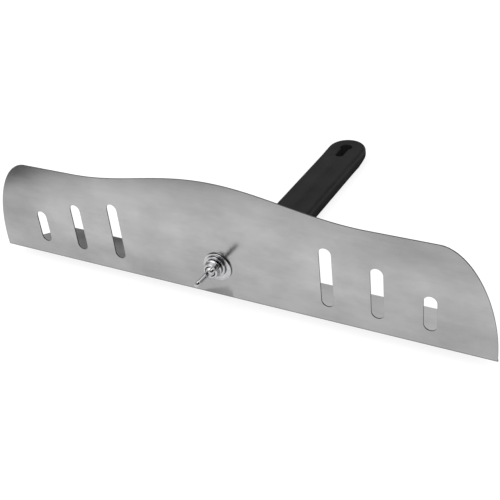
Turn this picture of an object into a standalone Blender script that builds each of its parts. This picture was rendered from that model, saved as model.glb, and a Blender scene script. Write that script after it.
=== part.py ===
"""Steel finishing trowel: a humped, slotted face plate bent into a sole, held to its handle by one wing nut.

Frame, in metres: the origin is the centre of the sole's flat underside, +X runs along the plate,
+Y runs back along the handle and +Z is up. The working face of the plate looks towards -Y.
"""
import math

import bmesh
import bpy
from mathutils import Vector

MM = 0.001
GAP = 0.3 * MM              # clearance left between touching pieces

# Face plate and sole: one bent steel sheet
SHEET = 1.0 * MM
HALF_LENGTH = 225.4 * MM
SOLE_DEPTH = 43.0 * MM
FRONT_Y = -SOLE_DEPTH / 2
REAR_Y = SOLE_DEPTH / 2
BEND_OUTER = 1.8 * MM
SHOULDER_Z = 89.2 * MM      # height of the level shoulders beside the hump
HUMP_RISE = 15.4 * MM
HUMP_HALF_WIDTH = 130.0 * MM
END_CURVE_X = 182.5 * MM    # where each shoulder starts to fall
END_CURVE_Z = 6.0 * MM      # where that fall has become upright
END_CURVE_FULLNESS = 1.9    # superellipse exponent of that fall, 2 being an ellipse
SOLE_CHAMFER = 40.5 * MM    # 45 degree corners of the sole

# Slots in the face, inner pair to outer pair
SLOT_WIDTH = 10.2 * MM
SLOT_BOTTOM = 14.3 * MM
SLOT_PLACES = ((96.0 * MM, 67.1 * MM), (136.2 * MM, 58.7 * MM), (176.2 * MM, 44.6 * MM))

# Clamp hardware, M8
BOLT_Z = 29.9 * MM
BOLT_RADIUS = 3.9 * MM
BOLT_LENGTH = 16.0 * MM
BOLT_HOLE_RADIUS = 4.5 * MM
NECK_SIDE = 8.0 * MM
NECK_LENGTH = 3.0 * MM
HEAD_RADIUS = 10.0 * MM
HEAD_HEIGHT = 4.6 * MM
THREAD_HOLE_RADIUS = 4.2 * MM
FENDER_RADIUS = 12.5 * MM
FENDER_THICKNESS = 1.2 * MM
FENDER_BORE = 5.8 * MM
FENDER_SHIFT = (1.3 * MM, -1.0 * MM)    # the wide washer sits off centre on the bolt, in X and Z
SPRING_RADIUS = 9.3 * MM
SPRING_THICKNESS = 1.5 * MM
SPRING_DISH = 0.4 * MM
HUB_BASE_RADIUS = 7.6 * MM
HUB_TOP_RADIUS = 6.25 * MM
HUB_HEIGHT = 6.0 * MM
WING_THICKNESS = 3.8 * MM
WING_ROOT = (6.0 * MM, 4.0 * MM, 2.6 * MM)      # radial place, height and radius of the wing's root
WING_TIP = (11.0 * MM, 13.0 * MM, 4.0 * MM)     # the same for its rounded tip
WING_ANGLE = math.radians(46.0)

# Handle bracket: a bent strap whose rear half is the tang
STRAP = 3.0 * MM
STRAP_BEND_INNER = 2.5 * MM
LEG_HALF_WIDTH = 15.0 * MM
TANG_HALF_WIDTH = 10.0 * MM
TANG_END_Y = 203.0 * MM
TAPER_START_Y = 30.0 * MM
TAPER_END_Y = 72.0 * MM

# Grip
GRIP_FRONT_Y = 86.0 * MM
GRIP_END_CENTRE_Y = 233.9 * MM
GRIP_END_RADIUS = 19.2 * MM
GRIP_HALF_WIDTH = 18.7 * MM
GRIP_SPREAD_Y = 208.0 * MM      # where the sides begin to spread towards the rounded end
GRIP_TOP = 7.7 * MM
GRIP_BOTTOM = -7.8 * MM
UNDER_RISE_Y = 222.0 * MM       # where the underside begins to rise
UNDER_RISE = 5.7 * MM           # how far it has risen at the very end
GRIP_EDGE_RADIUS = 4.3 * MM
GRIP_CROWN = 0.5 * MM       # rise from the rounded edge to the ridge along the middle
GRIP_RIDGE_HALF_WIDTH = 1.2 * MM
GRIP_FRONT_CORNER = 6.0 * MM
HANG_HOLE_RADIUS = 5.8 * MM
HANG_SLOT_RADIUS = 3.7 * MM
HANG_HOLE_Y = 234.2 * MM
HANG_SLOT_Y = 217.2 * MM
PIN_Y = 95.0 * MM
PIN_RADIUS = 2.5 * MM


def clear_scene():
    for obj in list(bpy.data.objects):
        bpy.data.objects.remove(obj, do_unlink=True)


def material(name, colour, metallic, roughness):
    mat = bpy.data.materials.new(name)
    mat.use_nodes = True
    shader = mat.node_tree.nodes["Principled BSDF"]
    shader.inputs["Base Color"].default_value = (*colour, 1.0)
    shader.inputs["Metallic"].default_value = metallic
    shader.inputs["Roughness"].default_value = roughness
    return mat


def arc(centre, radius, start, end, steps):
    """Points on a circle from angle start to angle end, in degrees."""
    points = []
    for step in range(steps + 1):
        angle = math.radians(start + (end - start) * step / steps)
        points.append((centre[0] + radius * math.cos(angle), centre[1] + radius * math.sin(angle)))
    return points


def stadium(x, low, high, radius, steps=10):
    """An upright round-ended slot outline between the heights low and high."""
    return arc((x, high - radius), radius, 0, 180, steps) + arc((x, low + radius), radius, 180, 360, steps)


def rectangle(x0, x1, y0, y1):
    return [(x0, y0), (x1, y0), (x1, y1), (x0, y1)]


PLANES = {
    "X": lambda a, b, depth: (depth, a, b),
    "Y": lambda a, b, depth: (a, depth, b),
    "Z": lambda a, b, depth: (a, b, depth),
}


def add_prism(mesh, outline, axis, start, end):
    """Add the outline, drawn across the axis, extruded along it from start to end."""
    place = PLANES[axis]
    near = [mesh.verts.new(place(a, b, start)) for a, b in outline]
    far = [mesh.verts.new(place(a, b, end)) for a, b in outline]
    mesh.faces.new(near)
    mesh.faces.new(far)
    for index in range(len(outline)):
        following = (index + 1) % len(outline)
        mesh.faces.new((near[index], near[following], far[following], far[index]))


def add_turned(mesh, profile, segments):
    """Turn a closed (radius, height) profile about +Z; points on the axis are shared."""
    rings = []
    for radius, height in profile:
        if radius == 0:
            rings.append([mesh.verts.new((0, 0, height))] * segments)
            continue
        ring = []
        for segment in range(segments):
            angle = 2 * math.pi * segment / segments
            ring.append(mesh.verts.new((radius * math.cos(angle), radius * math.sin(angle), height)))
        rings.append(ring)
    for index, ring in enumerate(rings):
        following = rings[(index + 1) % len(rings)]
        for segment in range(segments):
            beside = (segment + 1) % segments
            corners = [ring[segment], ring[beside], following[beside], following[segment]]
            unique = list(dict.fromkeys(corners))
            if len(unique) > 2:
                mesh.faces.new(unique)


def add_object(name, mesh, mat=None, location=(0, 0, 0), towards_front=False, smooth=False):
    """Turn a bmesh into a named object; towards_front lays its +Z along -Y."""
    bmesh.ops.recalc_face_normals(mesh, faces=mesh.faces)
    data = bpy.data.meshes.new(name)
    mesh.to_mesh(data)
    mesh.free()
    obj = bpy.data.objects.new(name, data)
    bpy.context.scene.collection.objects.link(obj)
    obj.location = location
    if towards_front:
        obj.rotation_euler = (math.radians(90), 0, 0)
    if mat:
        data.materials.append(mat)
    if smooth:
        data.shade_smooth()
        data.set_sharp_from_angle(angle=math.radians(35))
    return obj


def as_cutter(obj):
    obj.hide_render = True
    obj.display_type = "WIRE"
    return obj


def combine(obj, other, operation):
    modifier = obj.modifiers.new(other.name, "BOOLEAN")
    modifier.operation = operation
    modifier.solver = "EXACT"
    modifier.object = as_cutter(other)


def bent_sheet(front, rear, low, top, thickness, outer):
    """The side view of a sheet that stands at front, bends and runs back to rear, as (y, z) points."""
    centre = (front + outer, low + outer)
    outside = arc(centre, outer, 180, 270, 8)
    inside = arc(centre, outer - thickness, 270, 180, 8)
    return [(front, top), *outside, (rear, low), (rear, low + thickness), *inside, (front + thickness, top)]


def half_face_outline():
    """The right half of the face's top edge as (x, z) points, from the middle of the hump down to the corner."""
    points = []
    for step in range(33):
        x = HUMP_HALF_WIDTH * step / 32
        points.append((x, SHOULDER_Z + HUMP_RISE * math.cos(math.pi * x / HUMP_HALF_WIDTH / 2) ** 2))
    for step in range(25):
        angle = math.pi / 2 * step / 24
        across = math.sin(angle) ** (2 / END_CURVE_FULLNESS)
        down = max(math.cos(angle), 0.0) ** (2 / END_CURVE_FULLNESS)
        x = END_CURVE_X + (HALF_LENGTH - END_CURVE_X) * across
        points.append((x, END_CURVE_Z + (SHOULDER_Z - END_CURVE_Z) * down))
    return points


def make_face_plate(steel):
    mesh = bmesh.new()
    top = SHOULDER_Z + HUMP_RISE + 5 * MM
    side_view = bent_sheet(FRONT_Y, REAR_Y, 0.0, top, SHEET, BEND_OUTER)
    add_prism(mesh, side_view, "X", -HALF_LENGTH - 5 * MM, HALF_LENGTH + 5 * MM)
    plate = add_object("face_plate", mesh, steel, smooth=True)

    mesh = bmesh.new()
    right = half_face_outline()
    left = [(-x, z) for x, z in reversed(right[1:])]
    low = -5 * MM
    outline = right + [(HALF_LENGTH, low), (-HALF_LENGTH, low)] + left
    add_prism(mesh, outline, "Y", FRONT_Y - 5 * MM, REAR_Y + 5 * MM)
    combine(plate, add_object("face_outline_cutter", mesh), "INTERSECT")

    mesh = bmesh.new()
    margin = 2 * MM
    through = (FRONT_Y - margin, FRONT_Y + SHEET + margin)
    for side in (-1, 1):
        for x, slot_top in SLOT_PLACES:
            add_prism(mesh, stadium(side * x, SLOT_BOTTOM, slot_top, SLOT_WIDTH / 2), "Y", *through)
        wedge = [
            (side * (HALF_LENGTH + margin), REAR_Y - SOLE_CHAMFER - margin),
            (side * (HALF_LENGTH + margin), REAR_Y + margin),
            (side * (HALF_LENGTH - SOLE_CHAMFER - margin), REAR_Y + margin),
        ]
        add_prism(mesh, wedge, "Z", -margin, SHEET + margin)
    add_prism(mesh, arc((0, BOLT_Z), BOLT_HOLE_RADIUS, 0, 345, 23), "Y", *through)
    combine(plate, add_object("face_cuts_cutter", mesh), "DIFFERENCE")
    return plate


def tang_outline(inset):
    """Plan of the bracket seen from above: wide over the sole, tapered to the tang, rounded at its end."""
    wide = LEG_HALF_WIDTH - inset
    narrow = TANG_HALF_WIDTH - inset
    rounding = 5 * MM
    right = [(wide, FRONT_Y), (wide, TAPER_START_Y), (narrow, TAPER_END_Y)]
    right += arc((narrow - rounding, TANG_END_Y - rounding - inset), rounding, 0, 90, 6)
    return right + [(-x, y) for x, y in reversed(right)]


def make_handle_bracket(steel):
    front = FRONT_Y + SHEET + GAP
    low = SHEET + GAP
    mesh = bmesh.new()
    side_view = bent_sheet(front, TANG_END_Y + 5 * MM, low, BOLT_Z + 20 * MM, STRAP, STRAP + STRAP_BEND_INNER)
    add_prism(mesh, side_view, "X", -LEG_HALF_WIDTH - 5 * MM, LEG_HALF_WIDTH + 5 * MM)
    bracket = add_object("handle_bracket", mesh, steel, smooth=True)

    mesh = bmesh.new()
    leg = arc((0, BOLT_Z), LEG_HALF_WIDTH, 0, 180, 24)
    leg += [(-LEG_HALF_WIDTH, -5 * MM), (LEG_HALF_WIDTH, -5 * MM)]
    add_prism(mesh, leg, "Y", front - 5 * MM, TANG_END_Y + 10 * MM)
    combine(bracket, add_object("leg_outline_cutter", mesh), "INTERSECT")

    mesh = bmesh.new()
    add_prism(mesh, tang_outline(0.0), "Z", -5 * MM, BOLT_Z + 30 * MM)
    combine(bracket, add_object("tang_outline_cutter", mesh), "INTERSECT")

    mesh = bmesh.new()
    half = NECK_SIDE / 2 + GAP
    square = rectangle(-half, half, BOLT_Z - half, BOLT_Z + half)
    add_prism(mesh, square, "Y", front - 2 * MM, front + STRAP + 2 * MM)
    pin_hole = arc((0, PIN_Y), PIN_RADIUS + GAP, 0, 345, 23)
    add_prism(mesh, pin_hole, "Z", low - 2 * MM, low + STRAP + 2 * MM)
    combine(bracket, add_object("bracket_holes_cutter", mesh), "DIFFERENCE")
    return bracket


def make_coach_bolt(zinc):
    """Domed head behind the bracket, square neck in its hole, shank forward through the face plate."""
    head_y = FRONT_Y + SHEET + GAP + STRAP + GAP
    dome = [(HEAD_RADIUS, 0.0), (HEAD_RADIUS, -0.6 * MM)]
    for step in range(1, 9):
        angle = math.pi / 2 * step / 9
        rise = 0.6 * MM + (HEAD_HEIGHT - 0.6 * MM) * math.sin(angle)
        dome.append((HEAD_RADIUS * math.cos(angle), -rise))
    dome.append((0, -HEAD_HEIGHT))
    chamfer = 0.9 * MM
    shank = [(0, BOLT_LENGTH), (BOLT_RADIUS - chamfer, BOLT_LENGTH), (BOLT_RADIUS, BOLT_LENGTH - chamfer)]
    shank.append((BOLT_RADIUS, 0.0))
    mesh = bmesh.new()
    add_turned(mesh, shank + dome, 32)
    bolt = add_object("coach_bolt", mesh, zinc, (0, head_y, BOLT_Z), towards_front=True, smooth=True)

    mesh = bmesh.new()
    half = NECK_SIDE / 2
    add_prism(mesh, rectangle(-half, half, -half, half), "Z", -0.5 * MM, NECK_LENGTH + GAP)
    neck = add_object("neck_cutter", mesh, None, (0, head_y, BOLT_Z), towards_front=True)
    combine(bolt, neck, "UNION")
    return bolt


def make_washers(zinc):
    """The wide washer against the face and the dished spring washer under the wing nut."""
    bore = THREAD_HOLE_RADIUS + 0.2 * MM
    edge = 0.25 * MM
    fender_y = FRONT_Y - GAP
    flat = [
        (FENDER_BORE, 0.0), (FENDER_RADIUS - edge, 0.0), (FENDER_RADIUS, edge),
        (FENDER_RADIUS, FENDER_THICKNESS - edge), (FENDER_RADIUS - edge, FENDER_THICKNESS),
        (FENDER_BORE, FENDER_THICKNESS),
    ]
    mesh = bmesh.new()
    add_turned(mesh, flat, 64)
    place = (FENDER_SHIFT[0], fender_y, BOLT_Z + FENDER_SHIFT[1])
    add_object("fender_washer", mesh, zinc, place, towards_front=True, smooth=True)

    spring_y = fender_y - FENDER_THICKNESS - GAP
    dished = [
        (bore, SPRING_DISH), (SPRING_RADIUS - edge, 0.0), (SPRING_RADIUS, edge),
        (SPRING_RADIUS, SPRING_THICKNESS - edge), (SPRING_RADIUS - edge, SPRING_THICKNESS),
        (bore, SPRING_THICKNESS + SPRING_DISH),
    ]
    mesh = bmesh.new()
    add_turned(mesh, dished, 48)
    add_object("spring_washer", mesh, zinc, (0, spring_y, BOLT_Z), towards_front=True, smooth=True)
    return spring_y - SPRING_THICKNESS - SPRING_DISH - GAP


def wing_outline():
    """One wing as (radial, height) points: two circles and the lines that touch both."""
    root_r, root_h, root_radius = WING_ROOT
    tip_r, tip_h, tip_radius = WING_TIP
    reach = math.hypot(tip_r - root_r, tip_h - root_h)
    lean = math.degrees(math.atan2(tip_h - root_h, tip_r - root_r))
    spread = math.degrees(math.acos((root_radius - tip_radius) / reach))
    tip = arc((tip_r, tip_h), tip_radius, lean - spread, lean + spread, 14)
    root = arc((root_r, root_h), root_radius, lean + spread, lean - spread + 360, 8)
    return tip + root


def make_wing_nut(zinc, base_y):
    edge = 0.5 * MM
    hub = [
        (THREAD_HOLE_RADIUS, 0.0), (HUB_BASE_RADIUS - edge, 0.0), (HUB_BASE_RADIUS, edge),
        (HUB_BASE_RADIUS, 1.4 * MM), (HUB_TOP_RADIUS, HUB_HEIGHT - edge),
        (HUB_TOP_RADIUS - edge, HUB_HEIGHT), (THREAD_HOLE_RADIUS, HUB_HEIGHT),
    ]
    mesh = bmesh.new()
    add_turned(mesh, hub, 48)
    place = (0, base_y, BOLT_Z)
    nut = add_object("wing_nut", mesh, zinc, place, towards_front=True, smooth=True)

    for side, turn in (("right", WING_ANGLE), ("left", WING_ANGLE + math.pi)):
        mesh = bmesh.new()
        add_prism(mesh, wing_outline(), "Y", -WING_THICKNESS / 2, WING_THICKNESS / 2)
        for vert in mesh.verts:
            across, along = vert.co.y, vert.co.x
            vert.co.x = along * math.cos(turn) - across * math.sin(turn)
            vert.co.y = along * math.sin(turn) + across * math.cos(turn)
        wing = add_object(side + "_wing_cutter", mesh, None, place, towards_front=True)
        combine(nut, wing, "UNION")
    mesh = bmesh.new()
    add_prism(mesh, arc((0, 0), THREAD_HOLE_RADIUS, 0, 348.75, 31), "Z", -1 * MM, WING_TIP[1])
    bore = add_object("nut_bore_cutter", mesh, None, place, towards_front=True)
    combine(nut, bore, "DIFFERENCE")
    return nut


def grip_half_width(y):
    """Half the grip's width ahead of its rounded end, spreading slightly towards that end."""
    part = min(1.0, max(0.0, (y - GRIP_SPREAD_Y) / (GRIP_END_CENTRE_Y - GRIP_SPREAD_Y)))
    return GRIP_HALF_WIDTH + (GRIP_END_RADIUS - GRIP_HALF_WIDTH) * part * part * (3 - 2 * part)


def under_rise(y):
    end = GRIP_END_CENTRE_Y + GRIP_END_RADIUS
    return UNDER_RISE * max(0.0, (y - UNDER_RISE_Y) / (end - UNDER_RISE_Y))


def grip_loop(inset):
    """The grip's plan outline pulled in by inset, from the right front corner round the end and back."""
    corner = max(GRIP_FRONT_CORNER - inset, 0.6 * MM)
    front = GRIP_FRONT_Y + inset
    front_width = grip_half_width(GRIP_FRONT_Y) - inset
    points = arc((front_width - corner, front + corner), corner, -90, 0, 5)
    first = front + corner + 3 * MM
    for step in range(6):
        y = first + (GRIP_SPREAD_Y - first) * step / 6
        points.append((GRIP_HALF_WIDTH - inset, y))
    for step in range(10):
        y = GRIP_SPREAD_Y + (GRIP_END_CENTRE_Y - GRIP_SPREAD_Y) * step / 10
        points.append((grip_half_width(y) - inset, y))
    points += arc((0, GRIP_END_CENTRE_Y), GRIP_END_RADIUS - inset, 0, 90, 14)
    points[-1] = (0.0, points[-1][1])
    return points + [(-x, y) for x, y in reversed(points[:-1])]


def grip_levels():
    """(inset, height) pairs from the ridge of the underside, round the edge, to the ridge on top."""
    deepest = GRIP_HALF_WIDTH - GRIP_RIDGE_HALF_WIDTH
    upper = []
    for step in range(7):
        angle = math.pi / 2 * step / 6
        inset = GRIP_EDGE_RADIUS * (1 - math.cos(angle))
        upper.append((inset, GRIP_TOP - GRIP_EDGE_RADIUS * (1 - math.sin(angle))))
    upper.append((deepest, GRIP_TOP + GRIP_CROWN))
    middle = GRIP_TOP + GRIP_BOTTOM
    lower = [(inset, middle - height) for inset, height in reversed(upper)]
    return lower + upper


def make_grip(plastic):
    mesh = bmesh.new()
    loops = []
    middle = (GRIP_TOP + GRIP_BOTTOM) / 2
    for inset, height in grip_levels():
        rising = 1.0 if height < middle else 0.0
        loops.append([mesh.verts.new((x, y, height + rising * under_rise(y))) for x, y in grip_loop(inset)])
    count = len(loops[0])
    for lower, upper in zip(loops, loops[1:]):
        for index in range(count):
            following = (index + 1) % count
            mesh.faces.new((lower[index], lower[following], upper[following], upper[index]))
    for loop in (loops[0], loops[-1]):
        for index in range(count // 2):
            corners = [loop[index], loop[index + 1], loop[-index - 2], loop[-index - 1]]
            mesh.faces.new(list(dict.fromkeys(corners)))
    grip = add_object("grip", mesh, plastic, smooth=True)

    mesh = bmesh.new()
    pocket = [(x, y if y > FRONT_Y else FRONT_Y) for x, y in tang_outline(-GAP)]
    add_prism(mesh, pocket, "Z", SHEET, SHEET + GAP + STRAP + GAP)
    combine(grip, add_object("tang_pocket_cutter", mesh), "DIFFERENCE")

    mesh = bmesh.new()
    low, high = GRIP_BOTTOM - 5 * MM, GRIP_TOP + 5 * MM
    meeting = math.degrees(math.asin(HANG_SLOT_RADIUS / HANG_HOLE_RADIUS))
    keyhole = arc((0, HANG_HOLE_Y), HANG_HOLE_RADIUS, -90 + meeting, 270 - meeting, 22)
    keyhole += arc((0, HANG_SLOT_Y), HANG_SLOT_RADIUS, 180, 360, 12)
    add_prism(mesh, keyhole, "Z", low, high)
    add_prism(mesh, arc((0, PIN_Y), PIN_RADIUS + GAP, 0, 345, 23), "Z", low, high)
    combine(grip, add_object("grip_holes_cutter", mesh), "DIFFERENCE")
    return grip


def make_grip_pin(steel):
    """The pin that crosses the grip and the tang near the grip's front."""
    half = (GRIP_TOP - GRIP_BOTTOM) / 2 - 0.2 * MM
    edge = 0.4 * MM
    profile = [
        (0, -half), (PIN_RADIUS - edge, -half), (PIN_RADIUS, -half + edge),
        (PIN_RADIUS, half - edge), (PIN_RADIUS - edge, half), (0, half),
    ]
    mesh = bmesh.new()
    add_turned(mesh, profile, 24)
    return add_object("grip_pin", mesh, steel, Vector((0, PIN_Y, (GRIP_TOP + GRIP_BOTTOM) / 2)), smooth=True)


def main():
    clear_scene()
    stainless = material("brushed_stainless", (0.42, 0.42, 0.41), 1.0, 0.38)
    strap_steel = material("strap_steel", (0.36, 0.36, 0.36), 1.0, 0.45)
    zinc = material("zinc_plating", (0.56, 0.56, 0.57), 1.0, 0.28)
    plastic = material("black_plastic", (0.016, 0.016, 0.017), 0.0, 0.45)
    make_face_plate(stainless)
    make_handle_bracket(strap_steel)
    make_coach_bolt(zinc)
    nut_base_y = make_washers(zinc)
    make_wing_nut(zinc, nut_base_y)
    make_grip(plastic)
    make_grip_pin(strap_steel)


main()
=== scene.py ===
"""The looks of the steel finishing trowel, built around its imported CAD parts."""
import math

import bmesh
import bpy
from mathutils import Matrix, Vector


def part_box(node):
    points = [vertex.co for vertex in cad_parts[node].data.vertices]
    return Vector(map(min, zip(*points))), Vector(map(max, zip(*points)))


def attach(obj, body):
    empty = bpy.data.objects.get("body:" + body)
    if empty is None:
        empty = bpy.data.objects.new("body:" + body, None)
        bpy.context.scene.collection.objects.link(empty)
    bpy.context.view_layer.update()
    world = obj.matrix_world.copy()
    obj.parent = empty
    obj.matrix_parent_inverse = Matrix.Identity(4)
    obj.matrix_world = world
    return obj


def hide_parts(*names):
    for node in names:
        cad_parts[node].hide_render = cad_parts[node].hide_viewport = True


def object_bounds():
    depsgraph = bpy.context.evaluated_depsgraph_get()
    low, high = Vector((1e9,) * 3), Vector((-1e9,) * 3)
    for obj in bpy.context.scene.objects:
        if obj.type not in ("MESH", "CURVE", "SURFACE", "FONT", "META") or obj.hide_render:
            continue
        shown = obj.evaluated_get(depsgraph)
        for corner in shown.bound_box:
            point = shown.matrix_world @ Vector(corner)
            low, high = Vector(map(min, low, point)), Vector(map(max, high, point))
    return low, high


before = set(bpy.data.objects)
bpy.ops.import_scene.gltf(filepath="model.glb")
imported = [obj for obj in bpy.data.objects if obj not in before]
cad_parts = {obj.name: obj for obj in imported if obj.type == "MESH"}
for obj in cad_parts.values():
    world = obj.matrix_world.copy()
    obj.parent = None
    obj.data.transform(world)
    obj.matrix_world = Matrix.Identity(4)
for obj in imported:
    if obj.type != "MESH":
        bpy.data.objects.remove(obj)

cad_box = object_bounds()
MM = 0.001

# Camera: where the photograph was taken from
CAMERA_PLACE = (0.3463, -0.5183, 0.4352)
CAMERA_AZIMUTH = math.radians(32.24)
CAMERA_ELEVATION = math.radians(33.14)
CAMERA_ROLL = math.radians(-6.90)
CAMERA_LENS = 66.1

# Studio. The backdrop, the flag behind the camera and the cards are seen in reflections only. They are
# painted light and shade: glowing sheets that stand for the studio's bright and dark parts and for
# shadows on the floor.
BACKDROP_RADIUS = 1.6
BACKDROP_HEIGHT = 1.4
BACKDROP_GAP_X = 0.4
BACKDROP_FALL = 0.5
BACKDROP_RAMP = (0.55, 1.1, 0.06, 1.05)     # levels where it starts and ends, dark and bright
BACKDROP_WINDOW = (-1.2, -1.4, 0.0, 1.5)    # the same for the painted bright window, along X
CAMERA_FLAG_DISTANCE = 1.35
CAMERA_FLAG_RADIUS = 0.65
CAMERA_FLAG_GLOW = 0.03
# Lights: name, place, width, power
LIGHTS = (("key", (-0.5, -0.6, 1.4), 1.2, 6.0), ("fill", (1.2, -0.8, 0.9), 1.0, 2.0))
FLOOR_REACH = 6.0
FLOOR_GAP = 0.2 * MM
# Cards over the floor, painted shade seen only in reflections, for shadows on the floor and the studio's
# darker parts: name, height over it, brightness, corners
FLOOR_CARDS = (
    ("front_shade_card", 3.0 * MM, 0.15, (
        (-0.360, -0.060), (-0.322, -0.107), (-0.295, -0.150), (-0.230, -0.175), (-0.110, -0.188),
        (0.030, -0.198), (0.140, -0.205), (0.400, -0.260), (0.400, -1.200), (-1.200, -1.200),
        (-1.200, 0.050),
    )),
    ("grip_shadow_card", 0.1 * MM, 0.02, ((-0.022, 0.080), (0.036, 0.080), (0.036, 0.270), (-0.022, 0.270))),
    ("left_shade_card", 2.0 * MM, 0.90, (
        (-0.150, -0.0225), (-0.240, -0.075), (-0.290, -0.160), (-0.600, -0.160), (-0.600, -0.0225),
    )),
    ("right_shade_card", 2.0 * MM, 0.82, (
        (0.020, -0.200), (0.080, -0.140), (0.150, -0.115), (0.400, -0.120), (0.400, -0.280),
        (0.020, -0.280),
    )),
    ("near_shadow_card", 2.5 * MM, 0.88, (
        (-0.230, -0.0228), (-0.230, -0.0550), (0.240, -0.0620), (0.240, -0.0228),
    )),
)
# Cards just below the sole's level, along the foot of the face, painted contact shadow seen only in
# reflections: name, brightness, corners
SOLE_CARD_Z = -0.5 * MM
SOLE_CARDS = (
    ("contact_shadow_card", 0.36, (
        (-0.230, -0.0230), (0.230, -0.0230), (0.230, -0.0180), (-0.230, -0.0180),
    )),
    ("clamp_shadow_card", 0.53, (
        (-0.019, -0.0230), (-0.011, -0.0290), (-0.001, -0.0345), (0.006, -0.0300), (0.011, -0.0230),
    )),
)

# Places that the frame gives
plate_low, plate_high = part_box("face_plate")
bracket_low, bracket_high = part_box("handle_bracket")
grip_low, grip_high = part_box("grip")
fender_low, fender_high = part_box("fender_washer")
spring_low, spring_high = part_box("spring_washer")
_, nut_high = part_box("wing_nut")
bolt_low, bolt_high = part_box("coach_bolt")
pin_low, pin_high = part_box("grip_pin")
BOLT_Z = (spring_low.z + spring_high.z) / 2
PIN_Y = (pin_low.y + pin_high.y) / 2

# Shared by several pieces
PIN_HOLE_RADIUS = 2.8 * MM
SQUARE_CORNERS = ((-1, -1), (1, -1), (1, 1), (-1, 1))
SHARP_ANGLE = math.radians(40)    # shading breaks where faces meet at more than this


# ---------------------------------------------------------------- helpers

def arc(centre, radius, start, end, steps):
    """Points on a circle from angle start to angle end, in degrees."""
    points = []
    for step in range(steps + 1):
        angle = math.radians(start + (end - start) * step / steps)
        points.append((centre[0] + radius * math.cos(angle), centre[1] + radius * math.sin(angle)))
    return points


def stadium(x, low, high, radius):
    """An upright slot: two half circles and the straight sides between them."""
    top = arc((x, high - radius), radius, 0, 180, 16)
    return top + arc((x, low + radius), radius, 180, 360, 16)


def new_object(name, mesh, mat=None, smooth=True):
    """A scene object from a bmesh, which it uses up."""
    bmesh.ops.recalc_face_normals(mesh, faces=mesh.faces)
    data = bpy.data.meshes.new(name)
    mesh.to_mesh(data)
    mesh.free()
    obj = bpy.data.objects.new(name, data)
    bpy.context.scene.collection.objects.link(obj)
    if mat:
        data.materials.append(mat)
    if smooth:
        data.shade_smooth()
    return obj


def applied(obj):
    """Replace the object's mesh by the one its modifiers make."""
    graph = bpy.context.evaluated_depsgraph_get()
    data = bpy.data.meshes.new_from_object(obj.evaluated_get(graph))
    obj.modifiers.clear()
    old = obj.data
    obj.data = data
    bpy.data.meshes.remove(old)
    return obj


def boolean(obj, cutter, operation="DIFFERENCE"):
    """Cut obj by the cutter or join the two, and remove the cutter."""
    modifier = obj.modifiers.new("cut", "BOOLEAN")
    modifier.operation = operation
    modifier.solver = "EXACT"
    modifier.object = cutter
    applied(obj)
    bpy.data.objects.remove(cutter, do_unlink=True)


def turned(profile, segments):
    """A closed (radius, height) profile turned about +Z; points on the axis are shared."""
    mesh = bmesh.new()
    rings = []
    for radius, height in profile:
        if radius == 0:
            rings.append([mesh.verts.new((0, 0, height))] * segments)
            continue
        ring = []
        for segment in range(segments):
            angle = 2 * math.pi * segment / segments
            x, y = radius * math.cos(angle), radius * math.sin(angle)
            ring.append(mesh.verts.new((x, y, height)))
        rings.append(ring)
    for index, ring in enumerate(rings):
        following = rings[(index + 1) % len(rings)]
        for segment in range(segments):
            beside = (segment + 1) % segments
            corners = [ring[segment], ring[beside], following[beside], following[segment]]
            unique = list(dict.fromkeys(corners))
            if len(unique) > 2:
                mesh.faces.new(unique)
    return mesh


def loft(mesh, loops, capped=True):
    """Join each loop of points to the next with quads, and close the two ends."""
    for lower, upper in zip(loops, loops[1:]):
        for index in range(len(lower)):
            following = (index + 1) % len(lower)
            mesh.faces.new((lower[index], lower[following], upper[following], upper[index]))
    if capped:
        mesh.faces.new(loops[0])
        mesh.faces.new(loops[-1])


def prism(outline, low, high):
    """An outline in X and Y as a solid between two heights."""
    mesh = bmesh.new()
    near = [mesh.verts.new((x, y, low)) for x, y in outline]
    far = [mesh.verts.new((x, y, high)) for x, y in outline]
    mesh.faces.new(near)
    mesh.faces.new(far)
    for index in range(len(outline)):
        following = (index + 1) % len(outline)
        mesh.faces.new((near[index], near[following], far[following], far[index]))
    return mesh


def facing_front(obj, x, y, z):
    """Lay a piece made about +Z along -Y, with its base's centre at the point given."""
    turn = Matrix.Rotation(math.radians(90), 4, "X")
    obj.data.transform(Matrix.Translation((x, y, z)) @ turn)
    return obj


def on_bolt_axis(obj, y):
    """Lay a piece along the bolt, with its base at y."""
    return facing_front(obj, 0, y, BOLT_Z)


def dress(obj, body, slot, *nodes):
    """Put a finished piece in place of its CAD nodes, on the body it moves with."""
    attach(obj, body)
    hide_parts(*nodes)


# ---------------------------------------------------------------- materials

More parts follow.
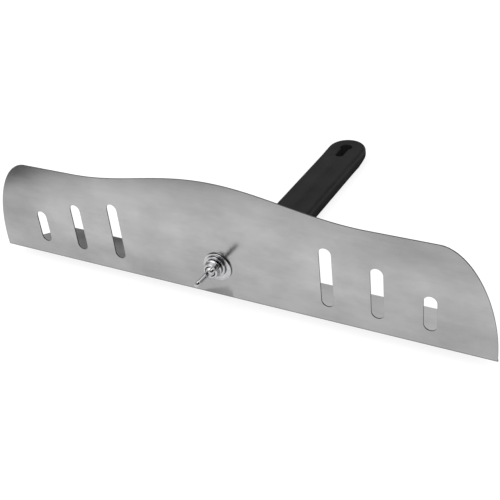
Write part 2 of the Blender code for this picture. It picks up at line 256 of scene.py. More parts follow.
class Nodes:
    """A small builder for one material's node tree."""

    def __init__(self, name):
        self.mat = bpy.data.materials.new(name)
        self.mat.use_nodes = True
        self.tree = self.mat.node_tree
        self.shader = self.tree.nodes["Principled BSDF"]
        self.place = self.add("ShaderNodeTexCoord").outputs["Object"]

    def add(self, kind, **values):
        """A new node, its inputs linked to sockets or set to values; set_x sets its property x."""
        node = self.tree.nodes.new(kind)
        for name, value in values.items():
            if name.startswith("set_"):
                setattr(node, name[4:], value)
            elif hasattr(value, "is_linked"):
                self.tree.links.new(value, node.inputs[name])
            else:
                node.inputs[name].default_value = value
        return node

    def scaled(self, x, y, z):
        """Object coordinates, in metres, stretched."""
        node = self.add("ShaderNodeMapping", Vector=self.place)
        node.inputs["Scale"].default_value = (x, y, z)
        return node.outputs["Vector"]

    def noise(self, vector, scale, detail, roughness):
        """The value of a noise texture."""
        settings = {"Vector": vector, "Scale": scale, "Detail": detail, "Roughness": roughness}
        return self.add("ShaderNodeTexNoise", **settings).outputs["Fac"]

    def ramp(self, value, low, high, out_low, out_high):
        """The value carried from low..high to out_low..out_high, and held within it."""
        node = self.add("ShaderNodeMapRange", Value=value)
        names = ("From Min", "From Max", "To Min", "To Max")
        for name, number in zip(names, (low, high, out_low, out_high)):
            node.inputs[name].default_value = number
        return node.outputs["Result"]

    def mix(self, factor, first, second):
        """A blend of two plain colours."""
        node = self.add("ShaderNodeMix", set_data_type="RGBA", Factor=factor)
        node.inputs[6].default_value = (*first, 1.0)
        node.inputs[7].default_value = (*second, 1.0)
        return node.outputs[2]

    def maths(self, operation, first, second):
        """One arithmetic step on two sockets or numbers."""
        node = self.add("ShaderNodeMath", set_operation=operation)
        for socket, value in zip(node.inputs, (first, second)):
            if hasattr(value, "is_linked"):
                self.tree.links.new(value, socket)
            else:
                socket.default_value = value
        return node.outputs[0]

    def bump(self, height, distance, strength):
        """A normal tilted by the height's slope."""
        node = self.add("ShaderNodeBump", Height=height, Distance=distance, Strength=strength)
        return node.outputs["Normal"]

    def glow(self, strength):
        """Finish as an unlit surface that only shines."""
        shine = self.add("ShaderNodeEmission", Strength=strength).outputs["Emission"]
        self.tree.links.new(shine, self.tree.nodes["Material Output"].inputs["Surface"])
        return self.mat

    def surface(self, **inputs):
        """Finish as a Principled surface with these inputs."""
        for name, value in inputs.items():
            socket = self.shader.inputs[name.replace("_", " ")]
            if hasattr(value, "is_linked"):
                self.tree.links.new(value, socket)
            else:
                socket.default_value = value
        return self.mat


def brushed_steel(name, dark, light, grain, roughness):
    """Rolled sheet: fine grain along one direction, longer faint streaks beside it and soft clouds."""
    n = Nodes(name)
    fine = n.noise(n.scaled(*grain), 1.0, 4.0, 0.65)
    streaks = n.noise(n.scaled(*(size / 5 for size in grain)), 1.0, 3.0, 0.5)
    clouds = n.noise(n.scaled(20.0, 34.0, 34.0), 1.0, 4.0, 0.55)
    shade = n.maths("ADD", n.maths("MULTIPLY", streaks, 0.08), n.maths("MULTIPLY", clouds, 0.92))
    colour = n.mix(n.ramp(shade, 0.34, 0.66, 0.0, 1.0), dark, light)
    worn = n.maths("MULTIPLY", n.maths("ADD", fine, clouds), 0.5)
    rough = n.ramp(worn, 0.3, 0.7, roughness - 0.04, roughness + 0.03)
    return n.surface(Base_Color=colour, Metallic=1.0, Roughness=rough, Normal=n.bump(fine, 0.00002, 0.25))


def sheared_edge_with_painted_shade(name):
    """The cut rim of a sheet, duller than its skins and scored through the thickness. Its darker,
    near-black colour is painted shade along the rims.
    """
    n = Nodes(name)
    score = n.noise(n.scaled(1800.0, 300.0, 1800.0), 1.0, 3.0, 0.6)
    # Painted shade: the near-black colour darkens the rounded rims.
    colour = n.mix(n.ramp(score, 0.3, 0.7, 0.0, 1.0), (0.06, 0.06, 0.06), (0.11, 0.11, 0.11))
    rough = n.ramp(score, 0.3, 0.7, 0.36, 0.50)
    return n.surface(Base_Color=colour, Metallic=1.0, Roughness=rough, Normal=n.bump(score, 0.00002, 0.4))


def zinc_plate(name):
    """Bright zinc plating with a faint mottled bloom."""
    n = Nodes(name)
    mottle = n.noise(n.place, 900.0, 4.0, 0.6)
    colour = n.mix(n.ramp(mottle, 0.35, 0.7, 0.0, 1.0), (0.46, 0.46, 0.47), (0.60, 0.60, 0.61))
    rough = n.ramp(mottle, 0.3, 0.7, 0.10, 0.20)
    normal = n.bump(mottle, 0.00003, 0.4)
    return n.surface(Base_Color=colour, Metallic=1.0, Roughness=rough, Normal=normal)


def moulded_plastic(name):
    """Black plastic with a fine spark-eroded grain."""
    n = Nodes(name)
    grain = n.noise(n.place, 2600.0, 3.0, 0.6)
    wear = n.noise(n.place, 30.0, 3.0, 0.6)
    colour = n.mix(n.ramp(wear, 0.35, 0.75, 0.0, 1.0), (0.012, 0.012, 0.013), (0.020, 0.020, 0.021))
    rough = n.ramp(wear, 0.3, 0.7, 0.42, 0.56)
    normal = n.bump(grain, 0.00006, 0.6)
    return n.surface(Base_Color=colour, Roughness=rough, Specular_IOR_Level=0.14, Normal=normal)


def pale_floor(name):
    """A pale floor that mostly shines by itself, so that it stays near white."""
    n = Nodes(name)
    cloud = n.noise(n.place, 3.0, 2.0, 0.5)
    colour = n.mix(cloud, (0.25, 0.25, 0.25), (0.27, 0.27, 0.27))
    glow = {"Emission_Color": (1.0, 1.0, 1.0, 1.0), "Emission_Strength": 0.79}
    return n.surface(Base_Color=colour, Roughness=0.9, Specular_IOR_Level=0.1, **glow)


FACE_STEEL = brushed_steel(
    "face_steel_look", (0.375, 0.375, 0.375), (0.485, 0.485, 0.485), (60.0, 3000.0, 3000.0), 0.23
)
STRAP_STEEL = brushed_steel(
    "strap_steel_look", (0.34, 0.34, 0.34), (0.44, 0.44, 0.43), (2500.0, 50.0, 2500.0), 0.4
)
CUT_EDGE_AND_SHADE = sheared_edge_with_painted_shade("cut_edge_and_painted_shade_look")
ZINC = zinc_plate("zinc_look")
PLASTIC = moulded_plastic("grip_plastic_look")


# ---------------------------------------------------------------- bent sheet pieces

BEND_STEPS = 12
BEVEL_ANGLE = math.radians(50)


def folded_sheet(name, outline, holes, thickness, outer, front, low, mat, edge):
    """Cut a blank, fold it 90 degrees about X and give it its thickness.

    The outline and holes are (x, v) points on the outer skin. v is the height above the bend; below
    zero it runs round the bend and then back along the sole. edge is the width of the rounded rims.
    """
    mesh = bmesh.new()
    for loop in (outline, *holes):
        verts = [mesh.verts.new((x, v, 0)) for x, v in loop]
        for index, vert in enumerate(verts):
            mesh.edges.new((vert, verts[(index + 1) % len(verts)]))
    bmesh.ops.triangle_fill(mesh, use_beauty=True, use_dissolve=False, edges=mesh.edges[:])
    length = outer * math.pi / 2
    for step in range(BEND_STEPS + 1):
        geometry = mesh.verts[:] + mesh.edges[:] + mesh.faces[:]
        place = (0, -length * step / BEND_STEPS, 0)
        bmesh.ops.bisect_plane(mesh, geom=geometry, plane_co=place, plane_no=(0, 1, 0), dist=1e-7)
    for vert in mesh.verts:
        v = vert.co.y
        if v >= 0:
            vert.co = (vert.co.x, front, low + outer + v)
        elif v > -length:
            angle = -v / outer
            y = front + outer * (1 - math.cos(angle))
            vert.co = (vert.co.x, y, low + outer * (1 - math.sin(angle)))
        else:
            vert.co = (vert.co.x, front + outer - v - length, low)
    bmesh.ops.recalc_face_normals(mesh, faces=mesh.faces)
    upright = max(mesh.faces, key=lambda face: face.calc_area() * (abs(face.normal.y) > 0.9))
    if upright.normal.y > 0:
        bmesh.ops.reverse_faces(mesh, faces=mesh.faces)
    data = bpy.data.meshes.new(name)
    mesh.to_mesh(data)
    mesh.free()
    data.materials.append(mat)
    data.materials.append(CUT_EDGE_AND_SHADE)
    obj = bpy.data.objects.new(name, data)
    bpy.context.scene.collection.objects.link(obj)
    solidify = obj.modifiers.new("thickness", "SOLIDIFY")
    solidify.material_offset_rim = 1
    solidify.thickness = thickness
    solidify.offset = -1.0
    solidify.use_even_offset = True
    bevel = obj.modifiers.new("edges", "BEVEL")
    bevel.width = edge
    bevel.material = 1
    bevel.segments = 3
    bevel.limit_method = "ANGLE"
    bevel.angle_limit = BEVEL_ANGLE
    applied(obj)
    obj.data.shade_smooth()
    weighted = obj.modifiers.new("normals", "WEIGHTED_NORMAL")
    weighted.mode = "FACE_AREA"
    weighted.keep_sharp = False
    return applied(obj)


SHEET = 1.0 * MM
BEND_OUTER = 1.8 * MM
SHOULDER_Z = 89.2 * MM
HUMP_HALF_WIDTH = 130.0 * MM
END_CURVE_X = 182.5 * MM
END_CURVE_Z = 6.0 * MM
END_CURVE_FULLNESS = 1.9
SOLE_CHAMFER = 40.5 * MM
SLOT_WIDTH = 10.2 * MM
SLOT_BOTTOM = 14.3 * MM
SLOT_PLACES = ((96.0 * MM, 67.1 * MM), (136.2 * MM, 58.7 * MM), (176.2 * MM, 44.6 * MM))
BOLT_HOLE_RADIUS = 4.5 * MM
SHEET_EDGE = 0.34 * MM
CURVE_STEPS = 40


def make_face_plate():
    """The tall slotted face with its humped top, and the sole folded back from its bottom edge."""
    half = plate_high.x
    rise = plate_high.z - SHOULDER_Z
    right = []
    for step in range(CURVE_STEPS + 1):
        x = HUMP_HALF_WIDTH * step / CURVE_STEPS
        right.append((x, SHOULDER_Z + rise * math.cos(math.pi * x / HUMP_HALF_WIDTH / 2) ** 2))
    for step in range(CURVE_STEPS + 1):
        angle = math.pi / 2 * step / CURVE_STEPS
        across = math.sin(angle) ** (2 / END_CURVE_FULLNESS)
        down = max(math.cos(angle), 0.0) ** (2 / END_CURVE_FULLNESS)
        x = END_CURVE_X + (half - END_CURVE_X) * across
        right.append((x, END_CURVE_Z + (SHOULDER_Z - END_CURVE_Z) * down))
    right = [(x, z - BEND_OUTER) for x, z in right]
    bend = BEND_OUTER * math.pi / 2
    straight = plate_high.y - plate_low.y - BEND_OUTER
    right.append((half, -bend - straight + SOLE_CHAMFER))
    right.append((half - SOLE_CHAMFER, -bend - straight))
    outline = right + [(-x, v) for x, v in reversed(right[1:])]
    holes = [arc((0, BOLT_Z - BEND_OUTER), BOLT_HOLE_RADIUS, 0, 348.75, 31)]
    for side in (-1, 1):
        for x, top in SLOT_PLACES:
            low = SLOT_BOTTOM - BEND_OUTER
            holes.append(stadium(side * x, low, top - BEND_OUTER, SLOT_WIDTH / 2))
    plate = folded_sheet(
        "trowel_face", outline, holes, SHEET, BEND_OUTER, plate_low.y, plate_low.z, FACE_STEEL, SHEET_EDGE
    )
    dress(plate, "trowel", "face_steel", "face_plate")


STRAP = 3.0 * MM
STRAP_OUTER = 5.5 * MM
TANG_HALF_WIDTH = 10.0 * MM
TAPER_START_Y = 30.0 * MM
TAPER_END_Y = 72.0 * MM
TANG_CORNER = 5.0 * MM
SQUARE_HOLE_HALF = 4.3 * MM
STRAP_EDGE = 0.3 * MM


def make_bracket():
    """The bent strap: a round topped leg behind the face, a foot on the sole and a tapered tang."""
    half = bracket_high.x
    bend = STRAP_OUTER * math.pi / 2

    def along(y):
        """The sheet's v at the place y behind the bend."""
        return -bend - (y - bracket_low.y - STRAP_OUTER)

    base = bracket_low.z + STRAP_OUTER
    top = arc((0, BOLT_Z - base), half, 0, 90, 20)
    right = list(reversed(top))
    right += [(half, along(TAPER_START_Y)), (TANG_HALF_WIDTH, along(TAPER_END_Y))]
    corner = (TANG_HALF_WIDTH - TANG_CORNER, along(bracket_high.y - TANG_CORNER))
    right += arc(corner, TANG_CORNER, 0, -90, 8)
    outline = right + [(-x, v) for x, v in reversed(right[1:])]
    middle = BOLT_Z - base
    square = [(x * SQUARE_HOLE_HALF, middle + v * SQUARE_HOLE_HALF) for x, v in SQUARE_CORNERS]
    holes = [square, arc((0, along(PIN_Y)), PIN_HOLE_RADIUS, 0, 345, 23)]
    bracket = folded_sheet(
        "handle_strap", outline, holes, STRAP, STRAP_OUTER, bracket_low.y, bracket_low.z, STRAP_STEEL,
        STRAP_EDGE,
    )
    dress(bracket, "trowel", "strap_steel", "handle_bracket")


# ---------------------------------------------------------------- clamp hardware

PITCH = 1.25 * MM
THREAD_DEPTH = 0.62 * MM
THREAD_SHAPE = 0.8    # below 1 it narrows the ridges
THREAD_RADIUS = 3.9 * MM
THREAD_START = 3.2 * MM
THREAD_FADE = 0.6 * MM
THREAD_SEGMENTS = 40
ROWS_A_TURN = 10
TIP_CHAMFER = 1.2 * MM
TIP_CHAMFER_SLOPE = 0.75
CREST_CUT = 0.15 * MM
HEAD_RADIUS = 10.0 * MM
HEAD_HEIGHT = 4.6 * MM
HEAD_STEPS = 15
HEAD_RIM = 0.7 * MM
HEAD_EDGE = (0.3 * MM, 0.25 * MM)    # the bevel under the rim: its width and its height
NECK_HALF = 4.0 * MM
NECK_LENGTH = 2.9 * MM
NECK_OVERLAP = 0.5 * MM


def make_bolt():
    """Domed head, square neck and a shank with its real helical thread."""
    head_y = bolt_high.y - HEAD_HEIGHT
    length = head_y - bolt_low.y
    mesh = bmesh.new()
    rows = int(length / (PITCH / ROWS_A_TURN))
    rings = []
    for row in range(rows + 1):
        height = length * row / rows
        fade = min(1.0, max(0.0, (height - THREAD_START) / THREAD_FADE))
        tip = max(0.0, height - (length - TIP_CHAMFER)) * TIP_CHAMFER_SLOPE
        ring = []
        for segment in range(THREAD_SEGMENTS):
            phase = (height / PITCH - segment / THREAD_SEGMENTS) % 1.0
            groove = THREAD_DEPTH * fade * (abs(phase - 0.5) * 2) ** THREAD_SHAPE
            radius = min(THREAD_RADIUS - groove, THREAD_RADIUS - CREST_CUT - tip)
            angle = 2 * math.pi * segment / THREAD_SEGMENTS
            x, y = radius * math.cos(angle), radius * math.sin(angle)
            ring.append(mesh.verts.new((x, y, height)))
        rings.append(ring)
    loft(mesh, rings)
    bolt = on_bolt_axis(new_object("clamp_bolt", mesh, ZINC), head_y)

    profile = [(0, 0), (HEAD_RADIUS - HEAD_EDGE[0], 0), (HEAD_RADIUS, -HEAD_EDGE[1])]
    dome = HEAD_HEIGHT - HEAD_RIM
    for step in range(HEAD_STEPS):
        angle = math.pi / 2 * step / HEAD_STEPS
        profile.append((HEAD_RADIUS * math.cos(angle), -HEAD_RIM - dome * math.sin(angle)))
    profile.append((0, -HEAD_HEIGHT))
    head = on_bolt_axis(new_object("bolt_head", turned(profile, 64)), head_y)
    boolean(bolt, head, "UNION")
    square = [(x * NECK_HALF, y * NECK_HALF) for x, y in SQUARE_CORNERS]
    neck = on_bolt_axis(new_object("bolt_neck", prism(square, -NECK_OVERLAP, NECK_LENGTH)), head_y)
    boolean(bolt, neck, "UNION")
    bolt.data.shade_smooth()
    bolt.data.set_sharp_from_angle(angle=SHARP_ANGLE)
    dress(bolt, "trowel", "zinc", "coach_bolt")


def rounded_ring(bore, outer, low, high, dish, edge):
    """A washer's section with rounded outer edges; dish lifts its inner edge."""
    profile = [(bore, low + dish), (bore + edge / 2, low + dish)]
    profile += arc((outer - edge, low + edge), edge, -90, 0, 5)
    profile += arc((outer - edge, high - edge), edge, 0, 90, 5)
    return profile + [(bore + edge / 2, high + dish), (bore, high + dish - edge / 3)]


FENDER_BORE = 5.8 * MM
FENDER_EDGE = 0.3 * MM
SPRING_BORE = 4.4 * MM
SPRING_DISH = 0.4 * MM
SPRING_EDGE = 0.4 * MM


def make_washers():
    """The wide flat washer, off centre on the bolt, and the dished one in front of it."""
    centre = (fender_low + fender_high) / 2
    thickness = fender_high.y - fender_low.y
    section = rounded_ring(FENDER_BORE, fender_high.x - centre.x, 0, thickness, 0, FENDER_EDGE)
    fender = new_object("face_washer", turned(section, 128), ZINC)
    facing_front(fender, centre.x, fender_high.y, centre.z)
    thickness = spring_high.y - spring_low.y - SPRING_DISH
    section = rounded_ring(SPRING_BORE, spring_high.x, 0, thickness, SPRING_DISH, SPRING_EDGE)
    spring = on_bolt_axis(new_object("dished_washer", turned(section, 128), ZINC), spring_high.y)
    for washer, node in ((fender, "fender_washer"), (spring, "spring_washer")):
        washer.data.set_sharp_from_angle(angle=SHARP_ANGLE)
        dress(washer, "washers", "zinc", node)


# The circles at a wing's root and tip: distance from the axis, height, radius
WING_ROOT = (6.0 * MM, 4.0 * MM, 2.6 * MM)
WING_TIP = (11.0 * MM, 13.0 * MM, 4.0 * MM)
# Across a wing's thickness: how far its outline is drawn in, and where
WING_SECTION = (
    (1.7 * MM, -1.9 * MM), (0.4 * MM, -1.5 * MM), (0.0, -0.8 * MM),
    (0.0, 0.8 * MM), (0.4 * MM, 1.5 * MM), (1.7 * MM, 1.9 * MM),
)
WING_ANGLE = math.radians(46.0)
HUB_BASE_RADIUS = 7.6 * MM
HUB_BASE_HEIGHT = 1.3 * MM
HUB_SHOULDER = (0.7 * MM, 2.2 * MM)    # how far inside the base it lies, and its height
HUB_TOP_RADIUS = 6.25 * MM
HUB_HEIGHT = 6.0 * MM
HUB_EDGE = 0.5 * MM
NUT_BORE_RADIUS = 4.2 * MM
NUT_BORE_MOUTH = 0.6 * MM
NUT_OVERSHOOT = 1.0 * MM    # how far the cutter reaches past the hub
NUT_VOXEL = 0.22 * MM
NUT_SHARP_ANGLE = math.radians(45)


def wing_outline(inset):
    """Two circles and the lines that touch both, drawn in by the inset."""
    root_r, root_h, root_radius = WING_ROOT
    tip_r, tip_h, tip_radius = WING_TIP
    reach = math.hypot(tip_r - root_r, tip_h - root_h)
    lean = math.degrees(math.atan2(tip_h - root_h, tip_r - root_r))
    spread = math.degrees(math.acos((root_radius - tip_radius) / reach))
    tip = arc((tip_r, tip_h), tip_radius - inset, lean - spread, lean + spread, 24)
    root = arc((root_r, root_h), root_radius - inset, lean + spread, lean - spread + 360, 12)
    return tip + root


def make_wing(side_turn):
    """One wing: a rounded paddle, thicker at its middle than at its rim."""
    mesh = bmesh.new()
    loops = []
    for inset, place in WING_SECTION:
        loops.append([mesh.verts.new((r, place, h)) for r, h in wing_outline(inset)])
    loft(mesh, loops)
    turn = Matrix.Rotation(side_turn, 3, "Z")
    bmesh.ops.rotate(mesh, verts=mesh.verts, cent=(0, 0, 0), matrix=turn)
    return new_object("wing", mesh)


def make_wing_nut():
    """A forged nut: hub and wings melted into each other, then bored."""
    hub_profile = [
        (0, 0.0), (HUB_BASE_RADIUS - HUB_EDGE, 0.0), (HUB_BASE_RADIUS, HUB_EDGE),
        (HUB_BASE_RADIUS, HUB_BASE_HEIGHT), (HUB_BASE_RADIUS - HUB_SHOULDER[0], HUB_SHOULDER[1]),
        (HUB_TOP_RADIUS, HUB_HEIGHT - HUB_EDGE), (HUB_TOP_RADIUS - HUB_EDGE, HUB_HEIGHT), (0, HUB_HEIGHT),
    ]
    nut = new_object("clamp_wing_nut", turned(hub_profile, 96), ZINC)
    for turn in (WING_ANGLE, WING_ANGLE + math.pi):
        boolean(nut, make_wing(turn), "UNION")
    remesh = nut.modifiers.new("melt", "REMESH")
    remesh.mode = "VOXEL"
    remesh.voxel_size = NUT_VOXEL
    smooth = nut.modifiers.new("forge", "SMOOTH")
    smooth.factor = 0.5
    smooth.iterations = 8
    applied(nut)
    wide = NUT_BORE_RADIUS + NUT_BORE_MOUTH + NUT_OVERSHOOT
    bore_profile = [
        (0, -NUT_OVERSHOOT), (wide, -NUT_OVERSHOOT), (NUT_BORE_RADIUS, NUT_BORE_MOUTH),
        (NUT_BORE_RADIUS, HUB_HEIGHT - NUT_BORE_MOUTH), (wide, HUB_HEIGHT + NUT_OVERSHOOT),
        (0, HUB_HEIGHT + NUT_OVERSHOOT),
    ]
    boolean(nut, new_object("bore", turned(bore_profile, 64)))
    nut.data.materials.clear()
    nut.data.materials.append(ZINC)
    nut.data.shade_smooth()
    nut.data.set_sharp_from_angle(angle=NUT_SHARP_ANGLE)
    on_bolt_axis(nut, nut_high.y)
    dress(nut, "wing_nut", "zinc", "wing_nut")


# ---------------------------------------------------------------- grip

GRIP_END_CENTRE_Y = 233.9 * MM
GRIP_HALF_WIDTH = 18.7 * MM
GRIP_SPREAD_Y = 208.0 * MM
UNDER_RISE_Y = 222.0 * MM
UNDER_RISE = 5.7 * MM
GRIP_EDGE_RADIUS = 4.3 * MM
GRIP_EDGE_STEPS = 10
GRIP_CROWN = 0.5 * MM
GRIP_RIDGE_HALF_WIDTH = 1.2 * MM
GRIP_GROOVE = (0.5 * MM, 0.3 * MM)    # how far inside the ridge its bottom lies, and its depth
GRIP_FRONT_CORNER = 6.0 * MM
GRIP_LEAST_CORNER = 0.6 * MM
GRIP_SIDE_START = 3.0 * MM    # from a front corner to the first point after it
GRIP_SIDE_STEPS = 24
HANG_HOLE_RADIUS = 5.8 * MM
HANG_SLOT_RADIUS = 3.7 * MM
HANG_HOLE_Y = 234.2 * MM
HANG_SLOT_Y = 217.2 * MM
KEYHOLE_RIM = 1.1 * MM
KEYHOLE_RIM_STEPS = 8
GRIP_OVERSHOOT = 2.0 * MM    # how far the cutters reach past the grip
POCKET_FRONT_Y = 60.0 * MM
POCKET_GAP = 0.3 * MM


def grip_half_width(y):
    """Half the grip's width at y, which spreads smoothly towards the rounded end."""
    part = min(1.0, max(0.0, (y - GRIP_SPREAD_Y) / (GRIP_END_CENTRE_Y - GRIP_SPREAD_Y)))
    return GRIP_HALF_WIDTH + (grip_high.x - GRIP_HALF_WIDTH) * part * part * (3 - 2 * part)


def under_rise(y):
    """How far the underside has risen towards the rounded end."""
    return UNDER_RISE * max(0.0, (y - UNDER_RISE_Y) / (grip_high.y - UNDER_RISE_Y))


def grip_loop(inset):
    """The grip's outline from above, drawn in by the inset."""
    corner = max(GRIP_FRONT_CORNER - inset, GRIP_LEAST_CORNER)
    front = grip_low.y + inset
    front_width = grip_half_width(grip_low.y) - inset
    points = arc((front_width - corner, front + corner), corner, -90, 0, 8)
    first = front + corner + GRIP_SIDE_START
    for step in range(GRIP_SIDE_STEPS):
        y = first + (GRIP_SPREAD_Y - first) * step / GRIP_SIDE_STEPS
        points.append((GRIP_HALF_WIDTH - inset, y))
    for step in range(GRIP_SIDE_STEPS):
        y = GRIP_SPREAD_Y + (GRIP_END_CENTRE_Y - GRIP_SPREAD_Y) * step / GRIP_SIDE_STEPS
        points.append((grip_half_width(y) - inset, y))
    points += arc((0, GRIP_END_CENTRE_Y), grip_high.x - inset, 0, 90, 28)
    points[-1] = (0.0, points[-1][1])
    return points + [(-x, y) for x, y in reversed(points[:-1])]


def keyhole(outset):
    """The hanging hole's outline: a round hole with a narrower round ended slot in front of it."""
    hole = HANG_HOLE_RADIUS + outset
    slot = HANG_SLOT_RADIUS + outset
    meeting = math.degrees(math.asin(slot / hole))
    points = arc((0, HANG_HOLE_Y), hole, -90 + meeting, 270 - meeting, 40)
    return points + arc((0, HANG_SLOT_Y), slot, 180, 360, 20)


def make_grip():
    """The flat moulded grip: rounded edges, a faint crown with a groove, keyhole, pin hole and pocket."""
    top = grip_high.z - GRIP_CROWN
    bottom = grip_low.z + GRIP_CROWN
    deepest = GRIP_HALF_WIDTH - GRIP_RIDGE_HALF_WIDTH
    upper = []
    for step in range(GRIP_EDGE_STEPS + 1):
        angle = math.pi / 2 * step / GRIP_EDGE_STEPS
        inset = GRIP_EDGE_RADIUS * (1 - math.cos(angle))
        upper.append((inset, top - GRIP_EDGE_RADIUS * (1 - math.sin(angle))))
    upper.append((deepest, top + GRIP_CROWN))
    upper.append((deepest + GRIP_GROOVE[0], top + GRIP_CROWN - GRIP_GROOVE[1]))
    levels = [(inset, top + bottom - height) for inset, height in reversed(upper)] + upper
    mesh = bmesh.new()
    loops = []
    for index, (inset, height) in enumerate(levels):
        rising = 1.0 if index < len(upper) else 0.0
        points = [(x, y, height + rising * under_rise(y)) for x, y in grip_loop(inset)]
        loops.append([mesh.verts.new(point) for point in points])
    count = len(loops[0])
    loft(mesh, loops, capped=False)
    # Both ends are closed by quads from side to side
    for loop in (loops[0], loops[-1]):
        for index in range(count // 2):
            corners = [loop[index], loop[index + 1], loop[-index - 2], loop[-index - 1]]
            mesh.faces.new(list(dict.fromkeys(corners)))
    grip = new_object("moulded_grip", mesh, PLASTIC)

    cutter = bmesh.new()
    rings = []
    rounding = []
    for step in range(KEYHOLE_RIM_STEPS + 1):
        angle = math.pi / 2 * step / KEYHOLE_RIM_STEPS
        rounding.append((KEYHOLE_RIM * (1 - math.sin(angle)), KEYHOLE_RIM * (1 - math.cos(angle))))
    section = [(KEYHOLE_RIM, grip_low.z - GRIP_OVERSHOOT)]
    section += [(outset, grip_low.z + GRIP_CROWN / 2 + depth) for outset, depth in rounding]
    section += [(outset, grip_high.z - GRIP_CROWN / 2 - depth) for outset, depth in reversed(rounding)]
    section += [(KEYHOLE_RIM, grip_high.z + GRIP_OVERSHOOT)]
    for index, (outset, height) in enumerate(section):
        rising = 1.0 if index < len(section) / 2 else 0.0
        points = [(x, y, height + rising * under_rise(y)) for x, y in keyhole(outset)]
        rings.append([cutter.verts.new(point) for point in points])
    loft(cutter, rings)
    boolean(grip, new_object("keyhole_cutter", cutter))

    circle = arc((0, PIN_Y), PIN_HOLE_RADIUS, 0, 348.75, 31)
    pin_hole = prism(circle, grip_low.z - GRIP_OVERSHOOT, grip_high.z + GRIP_OVERSHOOT)
    boolean(grip, new_object("pin_cutter", pin_hole))
    width = TANG_HALF_WIDTH + POCKET_GAP
    rear = bracket_high.y + POCKET_GAP
    pocket = [(-width, POCKET_FRONT_Y), (width, POCKET_FRONT_Y), (width, rear), (-width, rear)]
    pocket_low = bracket_low.z - POCKET_GAP
    pocket_high = pocket_low + STRAP + 2 * POCKET_GAP
    boolean(grip, new_object("pocket_cutter", prism(pocket, pocket_low, pocket_high)))
    grip.data.shade_smooth()
    grip.data.set_sharp_from_angle(angle=SHARP_ANGLE)
    dress(grip, "trowel", "grip_plastic", "grip")


# ---------------------------------------------------------------- studio

def make_camera():
    """The camera at the place and turn of the photograph's."""
    data = bpy.data.cameras.new("photo_camera")
    data.lens = CAMERA_LENS
    camera = bpy.data.objects.new("photo_camera", data)
    bpy.context.scene.collection.objects.link(camera)
    aim = Matrix.Rotation(CAMERA_AZIMUTH, 4, "Z")
    tilt = Matrix.Rotation(math.pi / 2 - CAMERA_ELEVATION, 4, "X")
    roll = Matrix.Rotation(CAMERA_ROLL, 4, "Z")
    camera.matrix_world = Matrix.Translation(CAMERA_PLACE) @ (aim @ tilt) @ roll
    bpy.context.scene.camera = camera


def area_light(name, place, size, power):
    """A soft square light aimed at the middle of the sole."""
    data = bpy.data.lights.new(name, "AREA")
    data.shape = "SQUARE"
    data.size = size
    data.energy = power
    light = bpy.data.objects.new(name, data)
    bpy.context.scene.collection.objects.link(light)
    light.location = place
    light.rotation_mode = "QUATERNION"
    light.rotation_quaternion = (-Vector(place)).to_track_quat("-Z", "Y")


def reflected_only(obj):
    """Leave an object to be seen in reflections and nowhere else."""
    obj.visible_camera = False
    obj.visible_diffuse = False
    obj.visible_shadow = False
    obj.visible_transmission = False
    return obj


def backdrop_shade(name):
    """An unlit, glowing sheet of painted light and shade: dark below and bright above, with a painted
    bright window at its far left.
    """
    n = Nodes(name)
    parts = n.add("ShaderNodeSeparateXYZ", Vector=n.place).outputs
    aside = n.maths("ABSOLUTE", n.maths("ADD", parts["X"], BACKDROP_GAP_X), 0.0)
    level = n.maths("SUBTRACT", parts["Z"], n.maths("MULTIPLY", aside, BACKDROP_FALL))
    level = n.maths("ADD", level, n.ramp(parts["X"], *BACKDROP_WINDOW))
    return n.glow(n.ramp(level, *BACKDROP_RAMP))


def make_backdrop():
    """A ring of painted light and shade round the table."""
    mesh = bmesh.new()
    bmesh.ops.create_cone(
        mesh, cap_ends=False, segments=96, radius1=BACKDROP_RADIUS, radius2=BACKDROP_RADIUS,
        depth=BACKDROP_HEIGHT,
    )
    bmesh.ops.translate(mesh, verts=mesh.verts, vec=(0, 0, BACKDROP_HEIGHT / 2))
    reflected_only(new_object("backdrop", mesh, backdrop_shade("backdrop_painted_light_and_shade")))


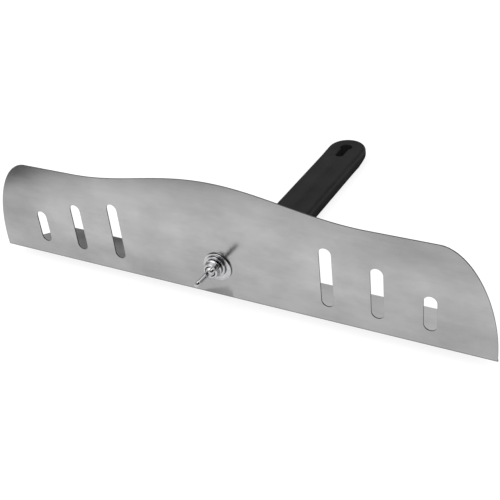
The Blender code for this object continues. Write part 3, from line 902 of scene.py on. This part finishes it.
def flat_card(name, corners, height, brightness):
    """A level card of even brightness that glows: painted shade, seen only in reflections."""
    mesh = bmesh.new()
    mesh.faces.new([mesh.verts.new((x, y, height)) for x, y in corners])
    shade = Nodes(name + "_shade").glow(brightness)
    reflected_only(new_object(name, mesh, shade, smooth=False))


def make_camera_flag():
    """A dark disc behind the photograph's camera, square to the line from the object to it."""
    # Painted shade: the dark disc darkens what polished metal reflects towards the camera.
    mesh = bmesh.new()
    bmesh.ops.create_circle(mesh, cap_ends=True, segments=48, radius=CAMERA_FLAG_RADIUS)
    shade = Nodes("flag_shade").glow(CAMERA_FLAG_GLOW)
    flag = reflected_only(new_object("camera_flag", mesh, shade, smooth=False))
    towards = Vector(CAMERA_PLACE).normalized()
    flag.location = towards * CAMERA_FLAG_DISTANCE
    flag.rotation_mode = "QUATERNION"
    flag.rotation_quaternion = towards.to_track_quat("Z", "Y")


def make_studio():
    """White surroundings, two soft lights, the floor and the painted light and shade that only
    reflections show.
    """
    world = bpy.data.worlds.new("studio")
    world.use_nodes = True
    background = world.node_tree.nodes["Background"]
    background.inputs["Color"].default_value = (1.0, 1.0, 1.0, 1.0)
    background.inputs["Strength"].default_value = 1.0
    bpy.context.scene.world = world
    bpy.context.scene.view_settings.view_transform = "Standard"
    for light in LIGHTS:
        area_light(*light)
    mesh = bmesh.new()
    bmesh.ops.create_grid(mesh, x_segments=4, y_segments=4, size=FLOOR_REACH)
    floor = new_object("floor", mesh, pale_floor("pale_floor"), smooth=False)
    floor.location.z = cad_box[0].z - FLOOR_GAP
    make_backdrop()
    make_camera_flag()
    for name, lift, brightness, corners in FLOOR_CARDS:
        flat_card(name, corners, floor.location.z + lift, brightness)
    for name, brightness, corners in SOLE_CARDS:
        flat_card(name, corners, SOLE_CARD_Z, brightness)


make_camera()
make_face_plate()
make_bracket()
make_bolt()
make_washers()
make_wing_nut()
make_grip()
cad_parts["grip_pin"].data.materials.clear()
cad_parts["grip_pin"].data.materials.append(STRAP_STEEL)
make_studio()
